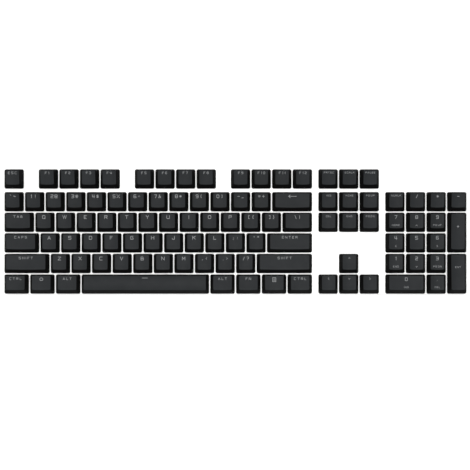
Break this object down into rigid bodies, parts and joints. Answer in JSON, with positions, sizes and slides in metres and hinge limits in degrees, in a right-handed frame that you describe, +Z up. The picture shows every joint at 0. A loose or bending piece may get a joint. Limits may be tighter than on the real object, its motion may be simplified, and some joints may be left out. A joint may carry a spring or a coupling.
{
  "type": "mechanical keyboard",
  "caption": "Full-size mechanical keyboard with sculpted black keycaps, sprung plunger switches, a white switch plate, a slim tray and flip-out feet.",
  "frame": {"origin": "on the desk, under the middle of the tray", "axes": "+X right along the rows, +Y to the back edge, +Z up"},
  "size_m": [0.4292, 0.1168, 0.0324],
  "materials": {
    "case_plastic": "fine moulded texture",
    "plate_metal": "powder-coated steel",
    "circuit_laminate": "solder-masked laminate",
    "switch_housing": "polished polycarbonate",
    "switch_base": "moulded nylon",
    "spring_steel": "drawn wire",
    "contact_metal": "tinned",
    "lamp_resin": "clear epoxy over phosphor",
    "guide_plastic": "moulded acetal",
    "socket_steel": "nickel-plated",
    "chip_resin": "moulded epoxy",
    "pad_rubber": "matt silicone",
    "standoff_brass": "turned",
    "screw_steel": "zinc-plated",
    "foot_plastic": "fine moulded texture",
    "keycap_plastic": "finely textured, dry matt",
    "legend_plastic": "moulded inlay, dry matt",
    "wire_steel": "bright spring wire"
  },
  "bodies": {
    "chassis": {"bottom_tray": "case_plastic", "switch_plate": "plate_metal", "circuit_board": "circuit_laminate", "switch_upper_housings": "switch_housing", "switch_lower_housings": "switch_base", "switch_springs": "spring_steel", "switch_contact_pins": "contact_metal", "key_lamps": "lamp_resin", "stabiliser_guides": "guide_plastic", "usb_c_socket": "socket_steel", "controller_chip": "chip_resin", "rubber_pads": "pad_rubber", "plate_standoffs": "standoff_brass", "tray_screws": "screw_steel"},
    "left_tilt_foot": {"left_tilt_foot": "foot_plastic"},
    "right_tilt_foot": {"right_tilt_foot": "foot_plastic"},
    "space_bar": {"space_bar": "keycap_plastic"},
    "enter_key": {"enter_key": "keycap_plastic"},
    "backspace_key": {"backspace_key": "keycap_plastic"},
    "left_shift_key": {"left_shift_key": "keycap_plastic"},
    "right_shift_key": {"right_shift_key": "keycap_plastic"},
    "numpad_zero_key": {"numpad_zero_key": "keycap_plastic"},
    "numpad_plus_key": {"numpad_plus_key": "keycap_plastic"},
    "numpad_enter_key": {"numpad_enter_key": "keycap_plastic"},
    "tab_key": {"tab_key": "keycap_plastic"},
    "caps_lock_key": {"caps_lock_key": "keycap_plastic"},
    "backslash_key": {"backslash_key": "keycap_plastic"},
    "escape_key": {"escape_key": "keycap_plastic"},
    "function_keys_f1_f4": {"function_keys_f1_f4": "keycap_plastic"},
    "function_keys_f5_f8": {"function_keys_f5_f8": "keycap_plastic"},
    "function_keys_f9_f12": {"function_keys_f9_f12": "keycap_plastic"},
    "system_keys": {"system_keys": "keycap_plastic"},
    "number_keys_left": {"number_keys_left": "keycap_plastic"},
    "number_keys_right": {"number_keys_right": "keycap_plastic"},
    "letter_keys_q_t": {"letter_keys_q_t": "keycap_plastic"},
    "letter_keys_y_p": {"letter_keys_y_p": "keycap_plastic"},
    "bracket_keys": {"bracket_keys": "keycap_plastic"},
    "letter_keys_a_g": {"letter_keys_a_g": "keycap_plastic"},
    "letter_keys_h_quote": {"letter_keys_h_quote": "keycap_plastic"},
    "letter_keys_z_b": {"letter_keys_z_b": "keycap_plastic"},
    "letter_keys_n_slash": {"letter_keys_n_slash": "keycap_plastic"},
    "left_modifier_keys": {"left_modifier_keys": "keycap_plastic"},
    "right_modifier_keys": {"right_modifier_keys": "keycap_plastic"},
    "up_arrow_key": {"up_arrow_key": "keycap_plastic"},
    "side_arrow_keys": {"side_arrow_keys": "keycap_plastic"},
    "insert_keys": {"insert_keys": "keycap_plastic"},
    "delete_keys": {"delete_keys": "keycap_plastic"},
    "numpad_operator_keys": {"numpad_operator_keys": "keycap_plastic"},
    "numpad_keys_7_9": {"numpad_keys_7_9": "keycap_plastic"},
    "numpad_keys_4_6": {"numpad_keys_4_6": "keycap_plastic"},
    "numpad_keys_1_3": {"numpad_keys_1_3": "keycap_plastic"},
    "numpad_decimal_key": {"numpad_decimal_key": "keycap_plastic"},
    "space_bar_wire": {"space_bar_wire": "wire_steel"},
    "enter_wire": {"enter_wire": "wire_steel"},
    "backspace_wire": {"backspace_wire": "wire_steel"},
    "left_shift_wire": {"left_shift_wire": "wire_steel"},
    "right_shift_wire": {"right_shift_wire": "wire_steel"},
    "numpad_zero_wire": {"numpad_zero_wire": "wire_steel"},
    "numpad_plus_wire": {"numpad_plus_wire": "wire_steel"},
    "numpad_enter_wire": {"numpad_enter_wire": "wire_steel"}
  },
  "joints": [
    {"name": "left_foot_fold", "type": "hinge", "parent": "chassis", "child": "left_tilt_foot", "pos_m": [-0.17, 0.05, 0.0025], "axis": [1, 0, 0], "range_deg": [0, 85]},
    {"name": "right_foot_fold", "type": "hinge", "parent": "chassis", "child": "right_tilt_foot", "pos_m": [0.17, 0.05, 0.0025], "axis": [1, 0, 0], "range_deg": [0, 85]},
    {"name": "space_bar_press", "type": "slide", "parent": "chassis", "child": "space_bar", "axis": [0, 0, -1], "range_m": [0, 0.004], "stiffness_N_per_m": 75, "springref_m": -0.004, "deforming": ["switch_springs"]},
    {"name": "enter_key_press", "type": "slide", "parent": "chassis", "child": "enter_key", "axis": [0, 0, -1], "range_m": [0, 0.004], "stiffness_N_per_m": 75, "springref_m": -0.004},
    {"name": "backspace_key_press", "type": "slide", "parent": "chassis", "child": "backspace_key", "axis": [0, 0, -1], "range_m": [0, 0.004], "stiffness_N_per_m": 75, "springref_m": -0.004},
    {"name": "left_shift_key_press", "type": "slide", "parent": "chassis", "child": "left_shift_key", "axis": [0, 0, -1], "range_m": [0, 0.004], "stiffness_N_per_m": 75, "springref_m": -0.004},
    {"name": "right_shift_key_press", "type": "slide", "parent": "chassis", "child": "right_shift_key", "axis": [0, 0, -1], "range_m": [0, 0.004], "stiffness_N_per_m": 75, "springref_m": -0.004},
    {"name": "numpad_zero_key_press", "type": "slide", "parent": "chassis", "child": "numpad_zero_key", "axis": [0, 0, -1], "range_m": [0, 0.004], "stiffness_N_per_m": 75, "springref_m": -0.004},
    {"name": "numpad_plus_key_press", "type": "slide", "parent": "chassis", "child": "numpad_plus_key", "axis": [0, 0, -1], "range_m": [0, 0.004], "stiffness_N_per_m": 75, "springref_m": -0.004},
    {"name": "numpad_enter_key_press", "type": "slide", "parent": "chassis", "child": "numpad_enter_key", "axis": [0, 0, -1], "range_m": [0, 0.004], "stiffness_N_per_m": 75, "springref_m": -0.004},
    {"name": "tab_key_press", "type": "slide", "parent": "chassis", "child": "tab_key", "axis": [0, 0, -1], "range_m": [0, 0.004], "stiffness_N_per_m": 75, "springref_m": -0.004},
    {"name": "caps_lock_key_press", "type": "slide", "parent": "chassis", "child": "caps_lock_key", "axis": [0, 0, -1], "range_m": [0, 0.004], "stiffness_N_per_m": 75, "springref_m": -0.004},
    {"name": "backslash_key_press", "type": "slide", "parent": "chassis", "child": "backslash_key", "axis": [0, 0, -1], "range_m": [0, 0.004], "stiffness_N_per_m": 75, "springref_m": -0.004},
    {"name": "escape_key_press", "type": "slide", "parent": "chassis", "child": "escape_key", "axis": [0, 0, -1], "range_m": [0, 0.004], "stiffness_N_per_m": 75, "springref_m": -0.004},
    {"name": "function_keys_f1_f4_press", "type": "slide", "parent": "chassis", "child": "function_keys_f1_f4", "axis": [0, 0, -1], "range_m": [0, 0.004], "stiffness_N_per_m": 300, "springref_m": -0.004},
    {"name": "function_keys_f5_f8_press", "type": "slide", "parent": "chassis", "child": "function_keys_f5_f8", "axis": [0, 0, -1], "range_m": [0, 0.004], "stiffness_N_per_m": 300, "springref_m": -0.004},
    {"name": "function_keys_f9_f12_press", "type": "slide", "parent": "chassis", "child": "function_keys_f9_f12", "axis": [0, 0, -1], "range_m": [0, 0.004], "stiffness_N_per_m": 300, "springref_m": -0.004},
    {"name": "system_keys_press", "type": "slide", "parent": "chassis", "child": "system_keys", "axis": [0, 0, -1], "range_m": [0, 0.004], "stiffness_N_per_m": 225, "springref_m": -0.004},
    {"name": "number_keys_left_press", "type": "slide", "parent": "chassis", "child": "number_keys_left", "axis": [0, 0, -1], "range_m": [0, 0.004], "stiffness_N_per_m": 450, "springref_m": -0.004},
    {"name": "number_keys_right_press", "type": "slide", "parent": "chassis", "child": "number_keys_right", "axis": [0, 0, -1], "range_m": [0, 0.004], "stiffness_N_per_m": 525, "springref_m": -0.004},
    {"name": "letter_keys_q_t_press", "type": "slide", "parent": "chassis", "child": "letter_keys_q_t", "axis": [0, 0, -1], "range_m": [0, 0.004], "stiffness_N_per_m": 375, "springref_m": -0.004},
    {"name": "letter_keys_y_p_press", "type": "slide", "parent": "chassis", "child": "letter_keys_y_p", "axis": [0, 0, -1], "range_m": [0, 0.004], "stiffness_N_per_m": 375, "springref_m": -0.004},
    {"name": "bracket_keys_press", "type": "slide", "parent": "chassis", "child": "bracket_keys", "axis": [0, 0, -1], "range_m": [0, 0.004], "stiffness_N_per_m": 150, "springref_m": -0.004},
    {"name": "letter_keys_a_g_press", "type": "slide", "parent": "chassis", "child": "letter_keys_a_g", "axis": [0, 0, -1], "range_m": [0, 0.004], "stiffness_N_per_m": 375, "springref_m": -0.004},
    {"name": "letter_keys_h_quote_press", "type": "slide", "parent": "chassis", "child": "letter_keys_h_quote", "axis": [0, 0, -1], "range_m": [0, 0.004], "stiffness_N_per_m": 450, "springref_m": -0.004},
    {"name": "letter_keys_z_b_press", "type": "slide", "parent": "chassis", "child": "letter_keys_z_b", "axis": [0, 0, -1], "range_m": [0, 0.004], "stiffness_N_per_m": 375, "springref_m": -0.004},
    {"name": "letter_keys_n_slash_press", "type": "slide", "parent": "chassis", "child": "letter_keys_n_slash", "axis": [0, 0, -1], "range_m": [0, 0.004], "stiffness_N_per_m": 375, "springref_m": -0.004},
    {"name": "left_modifier_keys_press", "type": "slide", "parent": "chassis", "child": "left_modifier_keys", "axis": [0, 0, -1], "range_m": [0, 0.004], "stiffness_N_per_m": 225, "springref_m": -0.004},
    {"name": "right_modifier_keys_press", "type": "slide", "parent": "chassis", "child": "right_modifier_keys", "axis": [0, 0, -1], "range_m": [0, 0.004], "stiffness_N_per_m": 300, "springref_m": -0.004},
    {"name": "up_arrow_key_press", "type": "slide", "parent": "chassis", "child": "up_arrow_key", "axis": [0, 0, -1], "range_m": [0, 0.004], "stiffness_N_per_m": 75, "springref_m": -0.004},
    {"name": "side_arrow_keys_press", "type": "slide", "parent": "chassis", "child": "side_arrow_keys", "axis": [0, 0, -1], "range_m": [0, 0.004], "stiffness_N_per_m": 225, "springref_m": -0.004},
    {"name": "insert_keys_press", "type": "slide", "parent": "chassis", "child": "insert_keys", "axis": [0, 0, -1], "range_m": [0, 0.004], "stiffness_N_per_m": 225, "springref_m": -0.004},
    {"name": "delete_keys_press", "type": "slide", "parent": "chassis", "child": "delete_keys", "axis": [0, 0, -1], "range_m": [0, 0.004], "stiffness_N_per_m": 225, "springref_m": -0.004},
    {"name": "numpad_operator_keys_press", "type": "slide", "parent": "chassis", "child": "numpad_operator_keys", "axis": [0, 0, -1], "range_m": [0, 0.004], "stiffness_N_per_m": 300, "springref_m": -0.004},
    {"name": "numpad_keys_7_9_press", "type": "slide", "parent": "chassis", "child": "numpad_keys_7_9", "axis": [0, 0, -1], "range_m": [0, 0.004], "stiffness_N_per_m": 225, "springref_m": -0.004},
    {"name": "numpad_keys_4_6_press", "type": "slide", "parent": "chassis", "child": "numpad_keys_4_6", "axis": [0, 0, -1], "range_m": [0, 0.004], "stiffness_N_per_m": 225, "springref_m": -0.004},
    {"name": "numpad_keys_1_3_press", "type": "slide", "parent": "chassis", "child": "numpad_keys_1_3", "axis": [0, 0, -1], "range_m": [0, 0.004], "stiffness_N_per_m": 225, "springref_m": -0.004},
    {"name": "numpad_decimal_key_press", "type": "slide", "parent": "chassis", "child": "numpad_decimal_key", "axis": [0, 0, -1], "range_m": [0, 0.004], "stiffness_N_per_m": 75, "springref_m": -0.004},
    {"name": "space_bar_wire_swing", "type": "hinge", "parent": "chassis", "child": "space_bar_wire", "pos_m": [-0.08334, -0.04047, 0.01105], "axis": [-1, 0, 0], "range_deg": [-28, 0]},
    {"name": "enter_wire_swing", "type": "hinge", "parent": "chassis", "child": "enter_wire", "pos_m": [0.05001, -0.01868, 0.01105], "axis": [1, 0, 0], "range_deg": [-28, 0]},
    {"name": "backspace_wire_swing", "type": "hinge", "parent": "chassis", "child": "backspace_wire", "pos_m": [0.05239, 0.01942, 0.01105], "axis": [1, 0, 0], "range_deg": [-28, 0]},
    {"name": "left_shift_wire_swing", "type": "hinge", "parent": "chassis", "child": "left_shift_wire", "pos_m": [-0.19288, -0.03773, 0.01105], "axis": [1, 0, 0], "range_deg": [-28, 0]},
    {"name": "right_shift_wire_swing", "type": "hinge", "parent": "chassis", "child": "right_shift_wire", "pos_m": [0.04524, -0.03773, 0.01105], "axis": [1, 0, 0], "range_deg": [-28, 0]},
    {"name": "numpad_zero_wire_swing", "type": "hinge", "parent": "chassis", "child": "numpad_zero_wire", "pos_m": [0.15716, -0.04047, 0.01105], "axis": [-1, 0, 0], "range_deg": [-28, 0]},
    {"name": "numpad_plus_wire_swing", "type": "hinge", "parent": "chassis", "child": "numpad_plus_wire", "pos_m": [0.19663, -0.001, 0.01105], "axis": [0, -1, 0], "range_deg": [-28, 0]},
    {"name": "numpad_enter_wire_swing", "type": "hinge", "parent": "chassis", "child": "numpad_enter_wire", "pos_m": [0.19663, -0.0391, 0.01105], "axis": [0, -1, 0], "range_deg": [-28, 0]}
  ],
  "couplings": [
    {"joint": "space_bar_wire_swing", "follows": "space_bar_press", "rad_per_m": -120.27},
    {"joint": "enter_wire_swing", "follows": "enter_key_press", "rad_per_m": -120.27},
    {"joint": "backspace_wire_swing", "follows": "backspace_key_press", "rad_per_m": -120.27},
    {"joint": "left_shift_wire_swing", "follows": "left_shift_key_press", "rad_per_m": -120.27},
    {"joint": "right_shift_wire_swing", "follows": "right_shift_key_press", "rad_per_m": -120.27},
    {"joint": "numpad_zero_wire_swing", "follows": "numpad_zero_key_press", "rad_per_m": -120.27},
    {"joint": "numpad_plus_wire_swing", "follows": "numpad_plus_key_press", "rad_per_m": -120.27},
    {"joint": "numpad_enter_wire_swing", "follows": "numpad_enter_key_press", "rad_per_m": -120.27}
  ]
}
